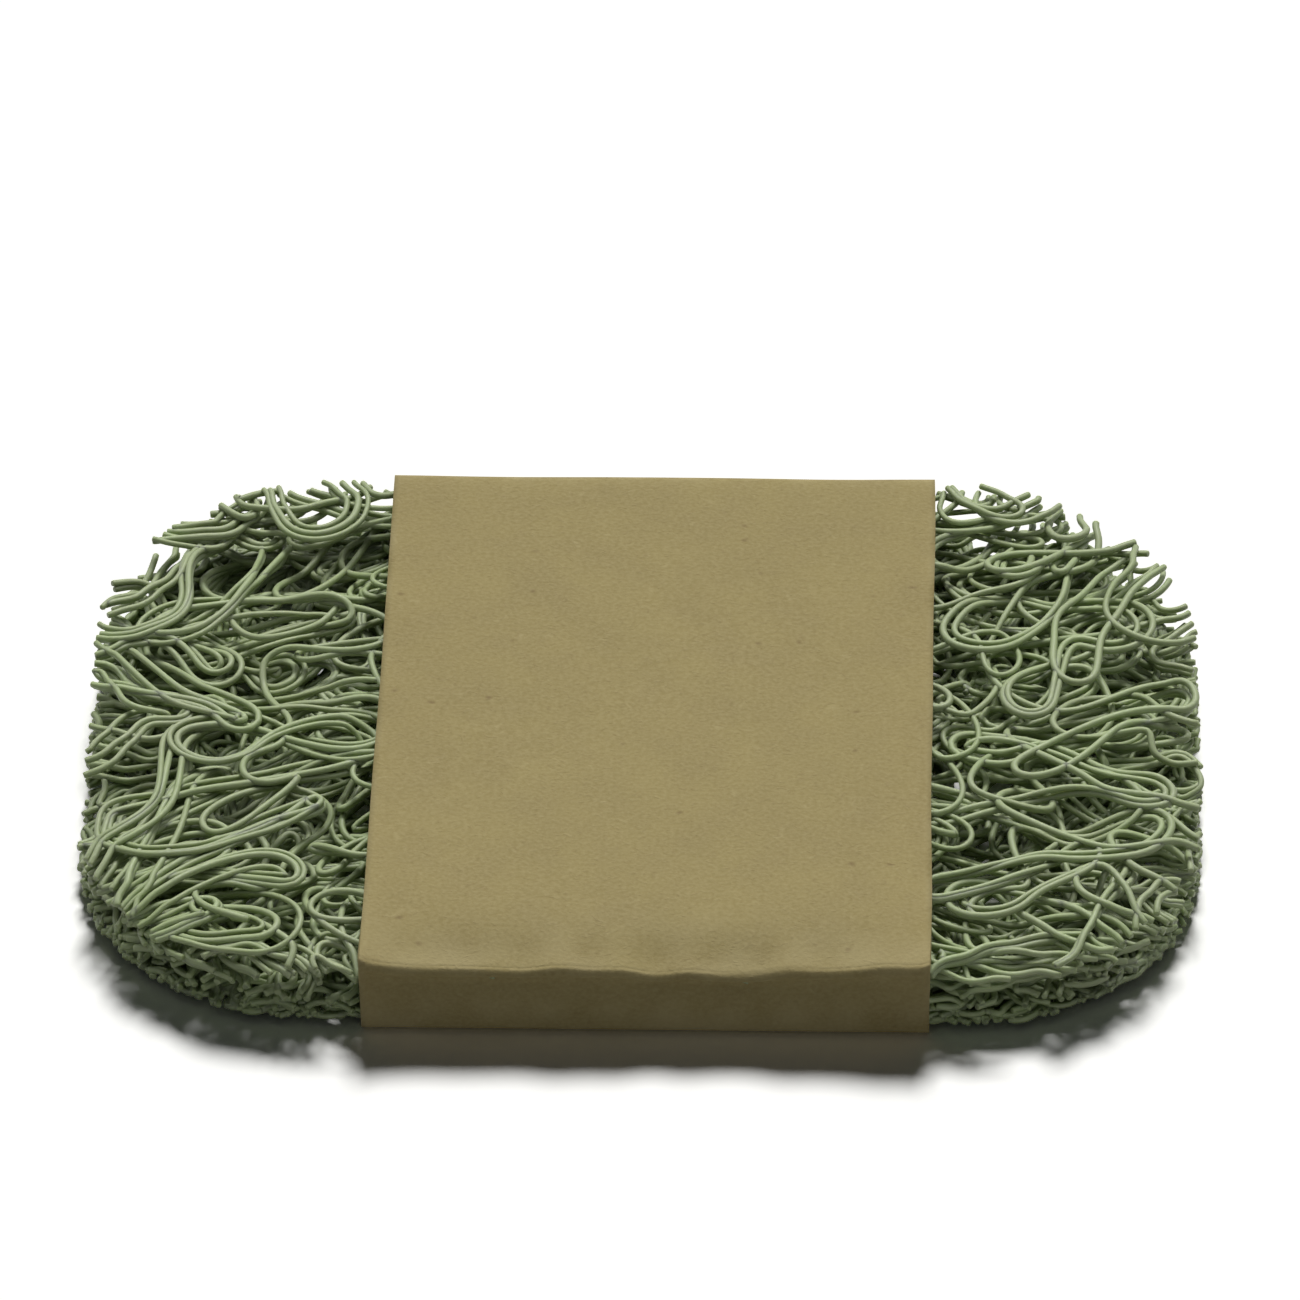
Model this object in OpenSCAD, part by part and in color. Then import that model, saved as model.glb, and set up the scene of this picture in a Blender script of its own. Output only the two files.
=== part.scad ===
// Soap saver: a die-cut mat of looped plastic filament in a folded kraft paper band.
// Millimetres. X runs along the mat, -Y faces the user, and Z = 0 is the table.

/* [Mat] */
// Length of the mat, end to end
mat_l = 120; // [100:1:150]
// Width of the mat, front to back
mat_w = 79; // [65:1:100]
// Radius of the four die-cut corners
corner_r = 25; // [15:1:30]

/* [Filament] */
// Diameter of one filament
strand_d = 0.86; // [0.7:0.02:1]
// Width of a ribbon, two filaments fused side by side
ribbon_w = 1.6; // [1.4:0.1:2]
// Height left open between two courses
course_gap = 0.1; // [0.08:0.02:0.3]

/* [Top loops] */
// Distance that a top filament advances with each loop
loop_step = 3.4; // [3.2:0.1:4.5]
// Half width of a loop, from its middle to its long side
loop_half_w = 3; // [2.6:0.1:3.6]
// How far a loop's leading side lies below its trailing side
loop_drop = 3.1; // [3:0.1:3.6]
// How much the ends of the loops wander
loop_wander = 1; // [0:0.1:1.4]

/* [Core courses] */
// Distance from one pass of a ribbon to its next pass
pass_step = 4.2; // [4:0.1:6]
// How far a pass may bow to one side
pass_bow = 1.1; // [0:0.1:1.3]

/* [Band] */
// Width of the paper band
band_w = 59; // [40:1:70]
// Offset of the band from the middle of the mat
band_shift = 1.3; // [-5:0.1:5]
// Thickness of the kraft paper
paper_t = 0.35; // [0.25:0.05:0.5]
// Outer radius of the band's four folds
fold_r = 1.2; // [0.8:0.1:2]
// Width of the glued overlap under the mat
overlap_w = 15; // [8:1:25]
// Distance of the overlap's front edge behind the middle
overlap_y = 7; // [0:1:12]
// Thickness of the glue line
glue_t = 0.05; // [0.03:0.01:0.1]
// Room between the mat and the paper, above, below and at each side
band_room = 0.12; // [0.1:0.02:0.4]

/* [Hidden] */
// Lanes of loops on top, and the lanes and the turn of each course under them, from the lowest up
TOP_LANES = 5;
COURSE_LANES = [4, 2, 4, 3, 4];
COURSE_TURNS = [0, 90, 24, 114, 9];
function lane_names(word, count) = [for (lane = [1:count]) str(word, "_", lane)];
course_words = ["base_ribbon", "cross_ribbon", "slant_ribbon", "counter_ribbon", "upper_ribbon"];

filament_colour = [0.55, 0.64, 0.49];
ribbon_colour = [0.43, 0.53, 0.38];
kraft_colour = [0.65, 0.56, 0.40];
glue_colour = [0.86, 0.84, 0.74];

// Sides and rings of a swept filament
tube_sides = 5;
loop_rings = 12;
// Points along a straight pass and round a turn of a ribbon
pass_points = 5;
turn_points = 4;
// How square the ends of a loop are
loop_power = 0.75;
// Wave of the line where two lanes of filament meet
seam_wave = 1.5;
seam_length = 42;
seam_room = 0.45;
// A pass or a loop shorter than this is left out
shortest_pass = 7;
shortest_loop = 10;
round_faces = 48;

// Heights
flap_z = paper_t + glue_t;
mat_z = flap_z + paper_t + band_room;
course_pitch = strand_d + course_gap;
loops_z = mat_z + len(COURSE_TURNS) * course_pitch;
mat_top = loops_z + loop_drop + strand_d;
band_h = mat_top + band_room + paper_t;
band_d = mat_w + 2 * (band_room + paper_t);
pass_margin = ribbon_w / 2 + pass_bow;

function turned(p, angle) =
    [p[0] * cos(angle) - p[1] * sin(angle), p[0] * sin(angle) + p[1] * cos(angle)];
function unit(v) = v / norm(v);

// Distance of a point from the die-cut outline, less than zero inside it
function from_outline(p) =
    let (q = [abs(p[0]) - mat_l / 2 + corner_r, abs(p[1]) - mat_w / 2 + corner_r])
    norm([max(q[0], 0), max(q[1], 0)]) + min(max(q[0], q[1]), 0) - corner_r;

// Where the line at height y leaves the outline, less a margin, in a frame turned by angle:
// the search halves the way between a point inside and a point outside
function outline_x(y, angle, margin, inside, outside, tries = 16) =
    tries == 0 ? inside :
    let (middle = (inside + outside) / 2)
    from_outline(turned([middle, y], angle)) < -margin
        ? outline_x(y, angle, margin, middle, outside, tries - 1)
        : outline_x(y, angle, margin, inside, middle, tries - 1);

// The wavy seam between two lanes of one course
function seam_x(x, y, seed) = x + seam_wave * sin(360 * y / seam_length + 77 * seed + 3 * x);

// Left and right limit of a lane at height y, both equal where the lane is outside the outline
function lane_limits(lane, lanes, reach, y, angle, margin, room, seed) =
    let (lane_w = 2 * reach / lanes,
         left = -reach + lane * lane_w,
         right = left + lane_w,
         seam_left = lane == 0 ? left : seam_x(left, y, seed) + room,
         seam_right = lane == lanes - 1 ? right : seam_x(right, y, seed) - room,
         middle = (left + right) / 2,
         inner = from_outline(turned([middle, y], angle)) < -margin ? middle
             : middle > 0 ? left : right)
    from_outline(turned([inner, y], angle)) > -margin ? [middle, middle] :
    [max(seam_left, outline_x(y, angle, margin, inner, -mat_l)),
     min(seam_right, outline_x(y, angle, margin, inner, mat_l))];

// Course of flat ribbons: passes from side to side, joined by round turns

function course_reach(angle) =
    angle % 90 == 0 ? (angle % 180 == 0 ? mat_l : mat_w) / 2
        : corner_r + abs((mat_l / 2 - corner_r) * cos(angle)) + abs((mat_w / 2 - corner_r) * sin(angle));

// The passes of a lane that are long enough, as heights from the front of the outline
function pass_heights(lane, lanes, angle, seed) =
    let (far = course_reach(angle + 90),
         count = floor((2 * far - 2 * pass_margin) / pass_step),
         start = -count * pass_step / 2)
    [for (pass = [0:count])
        let (y = start + pass * pass_step,
             limits = lane_limits(lane, lanes, course_reach(angle), y, angle,
                 pass_margin, seam_room, seed))
        if (limits[1] - limits[0] > shortest_pass + pass_step) y];

// The end of a pass, drawn in by the turn that follows it
function turn_x(side, y, lane, lanes, angle, seed) =
    let (radius = pass_step / 2,
         a = lane_limits(lane, lanes, course_reach(angle), y, angle, pass_margin, seam_room, seed),
         b = lane_limits(lane, lanes, course_reach(angle), y + pass_step, angle,
             pass_margin, seam_room, seed),
         drawn_in = radius + ribbon_w / 2)
    side > 0 ? min(a[1], b[1]) - drawn_in : max(a[0], b[0]) + drawn_in;

// The free end of the first or the last pass
function free_x(side, y, lane, lanes, angle, seed) =
    let (limits = lane_limits(lane, lanes, course_reach(angle), y, angle,
             pass_margin, seam_room, seed))
    side > 0 ? limits[1] - ribbon_w / 2 : limits[0] + ribbon_w / 2;

function bow_of(pass, seed) = pass_bow * sin(47 * pass + 111 * seed) * sin(13 * pass + 29 * seed);

function ribbon_path(lane, lanes, angle, seed) =
    let (heights = pass_heights(lane, lanes, angle, seed),
         last = len(heights) - 1,
         ends = concat(
             [free_x(-1, heights[0], lane, lanes, angle, seed)],
             [for (pass = [0:1:last - 1])
                 turn_x(pass % 2 == 0 ? 1 : -1, heights[pass], lane, lanes, angle, seed)],
             [free_x(last % 2 == 0 ? 1 : -1, heights[last], lane, lanes, angle, seed)]))
    [for (pass = [0:last])
        let (from = ends[pass], to = ends[pass + 1], y = heights[pass],
             bow = bow_of(pass, seed), side = pass % 2 == 0 ? 1 : -1)
        each concat(
            [for (i = [0:pass_points])
                let (share = i / pass_points)
                [from + (to - from) * share, y + bow * (1 - cos(360 * share)) / 2]],
            pass == last ? [] :
            [for (i = [1:turn_points - 1])
                let (a = 180 * i / turn_points)
                [to + side * pass_step / 2 * sin(a), y + pass_step / 2 * (1 - cos(a))]])];

module ribbon(lane, lanes, course) {
    angle = COURSE_TURNS[course];
    path = ribbon_path(lane, lanes, angle, course + 1);
    last = len(path) - 1;
    side = [for (i = [0:last])
        let (along = unit(path[min(i + 1, last)] - path[max(i - 1, 0)]))
        ribbon_w / 2 * [-along[1], along[0]]];
    outline = concat([for (i = [0:last]) path[i] + side[i]],
        [for (i = [last:-1:0]) path[i] - side[i]]);
    color(ribbon_colour)
        translate([0, 0, mat_z + course * course_pitch])
            rotate([0, 0, angle])
                linear_extrude(height = strand_d) polygon(outline);
}

// Top filaments: each is one tube wound in long flat loops that lie on each other like shingles

top_front = -mat_w / 2 + strand_d / 2;

function top_limits(lane, y, seed) =
    lane_limits(lane, TOP_LANES, mat_l / 2, min(max(y, top_front + 0.05), -top_front - 0.05), 0,
        strand_d / 2, seam_room + strand_d / 2, seed);

// The foremost row where a loop of this lane has room inside the outline
function first_row(lane, seed) =
    [for (y = [top_front + 0.1:0.2:0])
        let (limits = top_limits(lane, y, seed))
        if (limits[1] - limits[0] > shortest_loop) y][0];

function wander(turn, seed) =
    loop_wander * (0.6 * sin(97 * turn + 41 * seed) + 0.4 * sin(31 * turn + 17 * seed));

function top_path(lane, seed) =
    let (start = first_row(lane, seed) + loop_half_w - 0.75 * loop_step,
         turns = floor((-first_row(lane, seed) - loop_half_w - start) / loop_step + 0.75))
    [for (i = [0:turns * loop_rings])
        let (t = i / loop_rings,
             phase = 360 * t,
             y = start + loop_step * t + loop_half_w * sin(phase),
             limits = top_limits(lane, y, seed),
             middle = (limits[0] + limits[1]) / 2,
             half = (limits[1] - limits[0]) / 2 - strand_d / 2,
             draw = (loop_wander + wander(t, seed + (cos(phase) > 0 ? 0 : 5))) / 2,
             across = sign(cos(phase)) * pow(abs(cos(phase)), loop_power))
        [middle + (half - draw) * across,
         y,
         loops_z + strand_d / 2 + loop_drop * (1 - sin(phase)) / 2]];

module filament(path) {
    last = len(path) - 1;
    rings = [for (i = [0:last])
        let (along = unit(path[min(i + 1, last)] - path[max(i - 1, 0)]),
             side = unit(cross(along, [0, 0, 1])),
             up = cross(side, along))
        each [for (k = [0:tube_sides - 1])
            let (a = 360 * (k + 0.5) / tube_sides)
            path[i] + strand_d / 2 * (cos(a) * side + sin(a) * up)]];
    walls = [for (i = [0:last - 1]) for (k = [0:tube_sides - 1])
        let (a = i * tube_sides + k,
             b = i * tube_sides + (k + 1) % tube_sides)
        each [[a, b, a + tube_sides], [b, b + tube_sides, a + tube_sides]]];
    start_cap = [for (k = [1:tube_sides - 2]) [0, k + 1, k]];
    end_cap = [for (k = [1:tube_sides - 2])
        [last * tube_sides, last * tube_sides + k, last * tube_sides + k + 1]];
    polyhedron(rings, concat(walls, start_cap, end_cap), convexity = 10);
}

// The least gap between a top filament's own loops, measured on points along it
function spread(path) =
    [for (i = [0:len(path) - 2]) for (share = [0, 0.25, 0.5, 0.75])
        path[i] * (1 - share) + path[i + 1] * share];
function least_gap(path) =
    let (points = spread(path),
         near = 4 * loop_rings / 3,
         far = 4 * loop_rings * 2.4)
    min([for (i = [0:len(points) - 1])
        for (j = [i + floor(near):min(i + floor(far), len(points) - 1)])
            norm(points[i] - points[j])]) - strand_d;

module top_filament(lane) {
    path = top_path(lane, lane + 2);
    echo(str("top_filament_", lane + 1, " least gap to itself, mm: "), least_gap(path));
    color(filament_colour) filament(path);
}

// Paper band: one strip folded round the mat, its ends glued one over the other underneath

module fold(quarter) {
    rotate(90 * quarter)
        intersection() {
            difference() {
                circle(fold_r, $fn = round_faces);
                circle(fold_r - paper_t, $fn = round_faces);
            }
            square(fold_r);
        }
}

module band_profile() {
    half = band_d / 2;
    flat = half - fold_r;
    translate([-flat, band_h - paper_t]) square([2 * flat, paper_t]);
    translate([-half, fold_r]) square([paper_t, band_h - 2 * fold_r]);
    translate([half - paper_t, flap_z + fold_r]) square([paper_t, band_h - flap_z - 2 * fold_r]);
    translate([-flat, 0]) square([flat + overlap_y + overlap_w, paper_t]);
    translate([overlap_y, flap_z]) square([flat - overlap_y, paper_t]);
    translate([flat, band_h - fold_r]) fold(0);
    translate([-flat, band_h - fold_r]) fold(1);
    translate([-flat, fold_r]) fold(2);
    translate([flat, flap_z + fold_r]) fold(3);
}

module kraft_band() {
    color(kraft_colour)
        translate([band_shift - band_w / 2, 0, 0])
            rotate([90, 0, 90])
                linear_extrude(height = band_w) band_profile();
}

module glue_line() {
    edge = 2;
    color(glue_colour)
        translate([band_shift - band_w / 2 + edge, overlap_y + edge, paper_t])
            cube([band_w - 2 * edge, overlap_w - 2 * edge, glue_t]);
}

kraft_band();
glue_line();
for (lane = [0:TOP_LANES - 1])
    top_filament(lane);
for (course = [0:4])
    for (lane = [0:COURSE_LANES[course] - 1])
        ribbon(lane, COURSE_LANES[course], course);
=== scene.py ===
# %% [markdown]
# # A soap saver in its paper band
#
# The real thing is a mat that keeps a bar of soap out of its own puddle. A row of
# nozzles lets soft plastic filament fall on a moving belt, where it coils and
# swings from side to side, sticks to itself wherever it crosses, and cools as one
# springy sheet. A die then cuts the sheet to a rounded rectangle. It is sold in a
# band of kraft paper, folded round the middle and glued underneath.
#
# This lesson follows the factory roughly: each filament falls on those that lie
# there already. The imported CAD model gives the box, the lanes, the thickness and
# the band's place. The strand and the outline have values of their own here.

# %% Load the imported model
import math
import time

import bpy
import numpy as np
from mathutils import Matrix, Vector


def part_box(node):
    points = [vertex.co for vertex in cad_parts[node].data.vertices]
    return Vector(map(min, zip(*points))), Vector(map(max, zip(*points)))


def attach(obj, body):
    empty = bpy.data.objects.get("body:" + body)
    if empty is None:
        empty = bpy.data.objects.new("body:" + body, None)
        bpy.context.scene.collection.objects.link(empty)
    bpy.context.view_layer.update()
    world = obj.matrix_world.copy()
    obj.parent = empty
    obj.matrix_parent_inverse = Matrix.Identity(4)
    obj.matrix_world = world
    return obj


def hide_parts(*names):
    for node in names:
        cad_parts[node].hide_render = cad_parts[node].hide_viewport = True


started = time.time()
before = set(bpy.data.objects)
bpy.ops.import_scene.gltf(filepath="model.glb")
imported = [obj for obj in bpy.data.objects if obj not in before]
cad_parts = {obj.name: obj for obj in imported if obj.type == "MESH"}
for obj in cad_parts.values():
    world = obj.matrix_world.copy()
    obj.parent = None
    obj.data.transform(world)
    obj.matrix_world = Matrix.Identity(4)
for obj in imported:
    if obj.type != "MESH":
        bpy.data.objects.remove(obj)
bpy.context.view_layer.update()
nodes = sorted(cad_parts)
mat_nodes = [n for n in nodes if "filament" in n or "ribbon" in n]
mat_low = np.min([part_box(n)[0] for n in mat_nodes], axis=0)
mat_high = np.max([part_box(n)[1] for n in mat_nodes], axis=0)
print("mat in mm", (mat_low * 1000).round(2), (mat_high * 1000).round(2))

# %% [markdown]
# ## The camera
#
# The picture looks taken from in front and from far away with a long lens: the
# band's far edge is only 5 percent shorter than its near one. Cameras fitted to the
# band's corners don't settle the height of the view, and 41 degrees is one choice
# among several that fit about as well. The object lies a little below the middle of
# the picture, so the camera points at a spot just above it. That needs no lens
# shift, and the other views, which move this camera, stay centred.

# %% Place the camera
PICTURE = 1300  # pixels along each side
SENSOR = 36.0
FOCAL_PIXELS = 9500


def look_from(azimuth, elevation, distance, aim, roll, right_pixels, down_pixels):
    """A camera that sees the point aim some pixels right of and below the middle."""
    a, e, r = math.radians(azimuth), math.radians(elevation), math.radians(roll)
    back = np.array([math.sin(a) * math.cos(e), -math.cos(a) * math.cos(e), math.sin(e)])
    right = np.array([math.cos(a), math.sin(a), 0.0])
    up = np.cross(back, right)
    right, up = right * math.cos(r) + up * math.sin(r), up * math.cos(r) - right * math.sin(r)
    axis = -back + up * down_pixels / FOCAL_PIXELS - right * right_pixels / FOCAL_PIXELS
    axis /= np.linalg.norm(axis)
    right = np.cross(axis, up)
    right /= np.linalg.norm(right)
    up = np.cross(right, axis)
    data = bpy.data.cameras.new("camera")
    data.sensor_width = SENSOR
    data.lens = SENSOR * FOCAL_PIXELS / PICTURE
    data.clip_start, data.clip_end = 0.05, 10.0
    camera = bpy.data.objects.new("camera", data)
    bpy.context.scene.collection.objects.link(camera)
    place = np.eye(4)
    place[:3, 0], place[:3, 1], place[:3, 2] = right, up, -axis
    place[:3, 3] = np.array(aim) + distance * back
    camera.matrix_world = place.T.tolist()
    bpy.context.scene.camera = camera
    return camera


camera = look_from(2.2, 41.0, 1.013, (0.0, 0.0, 0.005), -0.9, -6.5, 95.5)
print("lens", round(camera.data.lens, 1), "mm at", [round(v, 3) for v in camera.location], "m")

# %% [markdown]
# ## Table and light
#
# The object lies on white card, lit by one broad light high behind it: its top is
# bright, the side towards us is dim, and a soft dark shadow falls forward. Area
# lamps would do, but a sun lamp with a wide angle lights the whole mat evenly.
#
# The card is plain and matt. Two things about it are not physical. Rays from the
# camera, a reflection or glass see it far brighter than diffuse light does, 1.7
# against 0.45, so that it is white in the picture but throws little light back on
# the object. The world does the same.

# %% Lay the card and set the background
scene = bpy.context.scene
scene.view_settings.view_transform = "Standard"


def wire(tree, pairs):
    """Links sockets, each pair being (from, to)."""
    for a, b in pairs:
        tree.links.new(a, b)


def add(tree, kind, **settings):
    """A node of that kind. A key that names a property sets it."""
    node = tree.nodes.new(kind)
    for key, value in settings.items():
        setattr(node, key, value)
    return node


def shown_ray(tree):
    """1 for rays of the camera, of a reflection or through glass, and 0 for diffuse light."""
    path_seen = add(tree, "ShaderNodeLightPath")
    total = path_seen.outputs["Is Camera Ray"]
    for name in ("Is Glossy Ray", "Is Transmission Ray"):
        either = add(tree, "ShaderNodeMath", operation="MAXIMUM")
        wire(tree, [(total, either.inputs[0]), (path_seen.outputs[name], either.inputs[1])])
        total = either.outputs[0]
    return total


world = bpy.data.worlds.new("studio")
scene.world = world
world.use_nodes = True
tree = world.node_tree
tree.nodes.clear()
ambient = add(tree, "ShaderNodeBackground")
ambient.inputs["Color"].default_value = (0.93, 0.97, 1.0, 1)
ambient.inputs["Strength"].default_value = 0.015
white = add(tree, "ShaderNodeBackground")
white.inputs["Strength"].default_value = 1.0
either = add(tree, "ShaderNodeMixShader")
sky = add(tree, "ShaderNodeOutputWorld")
wire(tree, [
    (shown_ray(tree), either.inputs["Fac"]),
    (ambient.outputs[0], either.inputs[1]),
    (white.outputs[0], either.inputs[2]),
    (either.outputs[0], sky.inputs["Surface"]),
])

card = bpy.data.meshes.new("card")
half = 3.0
card.from_pydata([(-half, -half, 0), (half, -half, 0), (half, half, 0), (-half, half, 0)], [],
                 [(0, 1, 2, 3)])
card_object = bpy.data.objects.new("card", card)
card_object.location.z = -0.00002
scene.collection.objects.link(card_object)
paper_white = bpy.data.materials.new("white card")
paper_white.use_nodes = True
tree = paper_white.node_tree
tree.nodes.clear()
shown = shown_ray(tree)
shade = add(tree, "ShaderNodeMix", data_type="RGBA")
shade.inputs["A"].default_value = (0.45, 0.45, 0.44, 1)
shade.inputs["B"].default_value = (1.70, 1.71, 1.72, 1)
matt = add(tree, "ShaderNodeBsdfDiffuse")
out = add(tree, "ShaderNodeOutputMaterial")
wire(tree, [
    (shown, shade.inputs["Factor"]),
    (shade.outputs["Result"], matt.inputs["Color"]),
    (matt.outputs[0], out.inputs["Surface"]),
])
card.materials.append(paper_white)
print("card", 2 * half, "m square, background white")

# %% [markdown]
# Three weak suns, from the left, the right and low in front, fill the walls and the
# folded front. On the card they would wash out the shadow. Real flags between lamp
# and table would do, but here light linking keeps them off the card, and that is
# the second thing that is not physical.

# %% Hang the lamps


def sun(name, azimuth, elevation, strength, angle, colour):
    """A sun lamp. Azimuth 0 is in front of the object and 180 behind it."""
    data = bpy.data.lights.new(name, "SUN")
    data.energy, data.angle, data.color = strength, math.radians(angle), colour
    lamp = bpy.data.objects.new(name, data)
    a, e = math.radians(azimuth), math.radians(elevation)
    from_lamp = -np.array([math.sin(a) * math.cos(e), -math.cos(a) * math.cos(e), math.sin(e)])
    right = np.cross(from_lamp, [0, 0, 1.0])
    right /= np.linalg.norm(right)
    place = np.eye(4)
    place[:3, 0], place[:3, 1], place[:3, 2] = right, np.cross(right, from_lamp), -from_lamp
    lamp.matrix_world = place.T.tolist()
    scene.collection.objects.link(lamp)
    return lamp


sun("window behind", 177, 50, 2.45, 17, (1.0, 0.99, 0.96))
flagged = [
    sun("window on the right", 118, 50, 0.66, 30, (1.0, 1.0, 0.98)),
    sun("window on the left", 238, 50, 0.76, 30, (1.0, 1.0, 0.98)),
    sun("low reflector in front", 5, 8, 0.38, 20, (0.99, 0.98, 0.97)),
]
kept_dark = bpy.data.collections.new("kept from side light")
kept_dark.objects.link(card_object)
kept_dark.collection_objects[0].light_linking.link_state = "EXCLUDE"
for lamp in flagged:
    lamp.light_linking.receiver_collection = kept_dark

# %% [markdown]
# ## Shader groups that several finishes share
#
# No surface here has one flat colour. Plastic cools a little lighter and darker
# along its length, and paper is a felt of fibres. Both are clouds of noise at
# different sizes, so one group, "clouds", is built once: it takes a size and gives
# back a smooth value between 0 and 1 in millimetres of the object, whichever
# material uses it.

# %% Build the clouds group


def group(name, takes, gives):
    """A shader node group with named sockets: {name: (socket type, default)}."""
    tree = bpy.data.node_groups.new(name, "ShaderNodeTree")
    for key, (kind, value) in takes.items():
        socket = tree.interface.new_socket(key, in_out="INPUT", socket_type=kind)
        socket.default_value = value
    for key, kind in gives.items():
        tree.interface.new_socket(key, in_out="OUTPUT", socket_type=kind)
    return tree, add(tree, "NodeGroupInput"), add(tree, "NodeGroupOutput")


NUMBER = "NodeSocketFloat"


def clouds_group():
    tree, given, result = group(
        "clouds",
        {"Per metre": (NUMBER, 200.0), "Stretch along X": (NUMBER, 1.0), "Detail": (NUMBER, 3.0),
         "Low": (NUMBER, 0.35), "High": (NUMBER, 0.65)},
        {"Value": NUMBER},
    )
    place = add(tree, "ShaderNodeTexCoord")
    stretch = add(tree, "ShaderNodeCombineXYZ")
    stretch.inputs["Y"].default_value = 1.0
    stretch.inputs["Z"].default_value = 1.0
    scaled = add(tree, "ShaderNodeVectorMath", operation="MULTIPLY")
    noise = add(tree, "ShaderNodeTexNoise")
    spread = add(tree, "ShaderNodeMapRange")
    wire(tree, [
        (given.outputs["Stretch along X"], stretch.inputs["X"]),
        (place.outputs["Object"], scaled.inputs[0]),
        (stretch.outputs[0], scaled.inputs[1]),
        (scaled.outputs[0], noise.inputs["Vector"]),
        (given.outputs["Per metre"], noise.inputs["Scale"]),
        (given.outputs["Detail"], noise.inputs["Detail"]),
        (noise.outputs["Fac"], spread.inputs["Value"]),
        (given.outputs["Low"], spread.inputs["From Min"]),
        (given.outputs["High"], spread.inputs["From Max"]),
        (spread.outputs["Result"], result.inputs["Value"]),
    ])
    return tree


clouds = clouds_group()
print("group", clouds.name, "takes", [s.name for s in clouds.interface.items_tree])

# %% [markdown]
# ## The plastic
#
# Fresh from the nozzle the filament is a satin sage green. A gloss plastic would be
# one Principled shader of one green, but the real strands differ: each cooled at
# its own speed, so some are greyer and some yellower, and their skin is slightly
# uneven. Slow clouds shift the colour, fast clouds break up the gloss and raise a
# faint skin, and a tone that each strand carries in its mesh sets it off from its
# neighbours. Light also sinks about a millimetre in, so the thin strands glow a
# little at their edges.

# %% Make the plastic


def use(tree, node_group, **values):
    node = add(tree, "ShaderNodeGroup", node_tree=node_group)
    for key, value in values.items():
        node.inputs[key.replace("_", " ")].default_value = value
    return node


def new_material(name):
    material = bpy.data.materials.new(name)
    material.use_nodes = True
    tree = material.node_tree
    tree.nodes.clear()
    body = add(tree, "ShaderNodeBsdfPrincipled")
    out = add(tree, "ShaderNodeOutputMaterial")
    tree.links.new(body.outputs[0], out.inputs["Surface"])
    return material, tree, body


def mix_colour(tree, factor, a, b):
    """A colour between a and b, each a socket or a colour."""
    node = add(tree, "ShaderNodeMix", data_type="RGBA")
    for socket, value in (("Factor", factor), ("A", a), ("B", b)):
        if isinstance(value, (tuple, float, int)):
            node.inputs[socket].default_value = value if socket == "Factor" else (*value, 1)
        else:
            tree.links.new(value, node.inputs[socket])
    return node.outputs["Result"]


def plastic(name, pale, deep, grey):
    material, tree, body = new_material(name)
    tone = add(tree, "ShaderNodeAttribute", attribute_name="tone")
    slow = use(tree, clouds, Per_metre=110.0, Detail=2.0, Low=0.35, High=0.68)
    skin = use(tree, clouds, Per_metre=1900.0, Detail=3.0, Low=0.3, High=0.7)
    base = mix_colour(tree, tone.outputs["Fac"], deep, pale)
    base = mix_colour(tree, slow.outputs["Value"], base, grey)
    gloss = add(tree, "ShaderNodeMapRange")
    gloss.inputs["To Min"].default_value = 0.39
    gloss.inputs["To Max"].default_value = 0.55
    bump = add(tree, "ShaderNodeBump")
    bump.inputs["Distance"].default_value = 0.00003
    bump.inputs["Strength"].default_value = 0.5
    wire(tree, [
        (base, body.inputs["Base Color"]),
        (skin.outputs["Value"], gloss.inputs["Value"]),
        (gloss.outputs["Result"], body.inputs["Roughness"]),
        (skin.outputs["Value"], bump.inputs["Height"]),
        (bump.outputs["Normal"], body.inputs["Normal"]),
    ])
    body.inputs["Specular IOR Level"].default_value = 0.36
    body.inputs["Subsurface Weight"].default_value = 0.7
    body.inputs["Subsurface Radius"].default_value = (1.0, 1.0, 0.7)
    body.inputs["Subsurface Scale"].default_value = 0.0009
    return material


sage = plastic("sage filament", (0.335, 0.41, 0.222), (0.275, 0.34, 0.170), (0.312, 0.36, 0.216))
# The lower courses get a darker copy of the plastic: painted shade that stands for their depth in
# the mat.
painted_shade_sage = plastic("sage filament with painted shade", (0.30, 0.37, 0.19), (0.235, 0.30, 0.138),
                      (0.265, 0.318, 0.178))
print("plastics", sage.name, "and", painted_shade_sage.name)

# %% [markdown]
# ## How a filament falls
#
# Seen from above, a filament swings to one side, turns, and swings back while the
# belt creeps on. One could draw such loops by hand, or take a sine wave, but a sine
# repeats itself at a glance. First come the tools for irregular curves: a smooth
# random curve, a smooth random field, and a cubic B-spline.

# %% Make the tools for irregular curves
DIAMETER = 0.73  # millimetres, as everything up to the mesh
RADIUS = DIAMETER / 2
LENGTH, WIDTH, CORNER = 119.0, 78.6, 25.0
STEP = 0.5  # distance between points while falling


def from_outline(p):
    """Distance of points from the die-cut outline, less than zero inside it."""
    q = np.abs(p) - (np.array([LENGTH, WIDTH]) / 2 - CORNER)
    return np.linalg.norm(np.maximum(q, 0), axis=-1) + np.minimum(q.max(-1), 0) - CORNER


def smooth_noise(rng, spacing, t):
    """A smooth random curve over t, about -1 to 1, with a new value every spacing."""
    values = rng.uniform(-1, 1, int(t.max() / spacing) + 5)
    x = t / spacing + 1
    i = x.astype(int)
    f = x - i
    a, b, c, d = values[i - 1], values[i], values[i + 1], values[i + 2]
    return b + 0.5 * f * (c - a + f * (2 * a - 5 * b + 4 * c - d + f * (3 * (b - c) + d - a)))


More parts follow.
